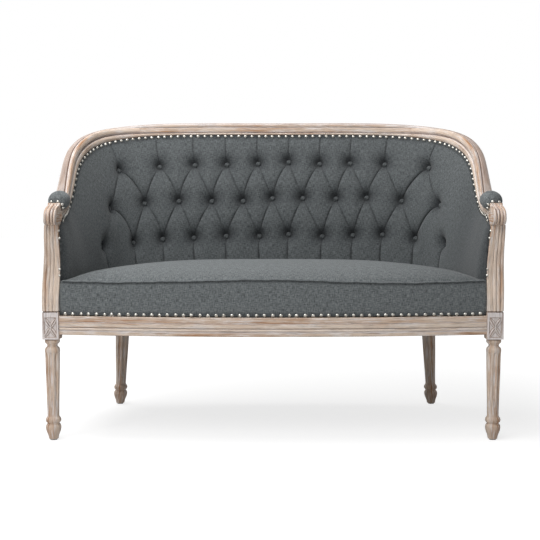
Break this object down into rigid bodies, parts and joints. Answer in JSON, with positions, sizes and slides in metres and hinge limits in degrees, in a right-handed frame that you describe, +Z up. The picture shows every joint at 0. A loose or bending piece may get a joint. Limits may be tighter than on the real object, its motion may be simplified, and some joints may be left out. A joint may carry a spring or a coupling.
{
  "type": "loveseat",
  "caption": "Barrel-back loveseat with a deep-buttoned inside back, a tight crowned seat, padded arms, a moulded show-wood frame with scrolled arm fronts and fluted turned legs.",
  "frame": {"origin": "on the floor, at the middle of the footprint's bounding box", "axes": "+Z up, +X to the viewer's right when facing the seat, +Y from the front of the seat to its back"},
  "size_m": [1.2736, 0.6872, 0.9012],
  "materials": {
    "show_wood": "weathered, limed hardwood with a dull wax sheen",
    "frame_wood": "plain unfinished hardwood",
    "cover_cloth": "plain-weave linen-like cloth in slate grey",
    "webbing": "woven jute straps",
    "lining": "thin black lining cloth",
    "glide_steel": "pressed nickelled steel"
  },
  "bodies": {
    "root": {"crest_rail": "show_wood", "wing_rail_left": "show_wood", "wing_rail_right": "show_wood", "arm_left": "show_wood", "arm_right": "show_wood", "arm_post_left": "show_wood", "arm_post_right": "show_wood", "front_rail": "show_wood", "side_rail_left": "show_wood", "side_rail_right": "show_wood", "front_leg_left": "show_wood", "front_leg_right": "show_wood", "rear_leg_left": "show_wood", "rear_leg_right": "show_wood", "rear_rail": "frame_wood", "corner_block_front_left": "frame_wood", "corner_block_front_right": "frame_wood", "corner_block_rear_left": "frame_wood", "corner_block_rear_right": "frame_wood", "seat_brace": "frame_wood", "back_post_left": "frame_wood", "back_post_right": "frame_wood", "back_stile_left": "frame_wood", "back_stile_right": "frame_wood", "tack_rail_back": "frame_wood", "tack_rail_left": "frame_wood", "tack_rail_right": "frame_wood", "outside_back": "cover_cloth", "outside_arm_left": "cover_cloth", "outside_arm_right": "cover_cloth", "inside_back": "cover_cloth", "inside_arm_left": "cover_cloth", "inside_arm_right": "cover_cloth", "seat_cushion": "cover_cloth", "seat_piping": "cover_cloth", "arm_pad_left": "cover_cloth", "arm_pad_right": "cover_cloth", "seat_webbing": "webbing", "dust_cover": "lining", "front_glide_left": "glide_steel", "front_glide_right": "glide_steel", "rear_glide_left": "glide_steel", "rear_glide_right": "glide_steel"}
  },
  "joints": []
}
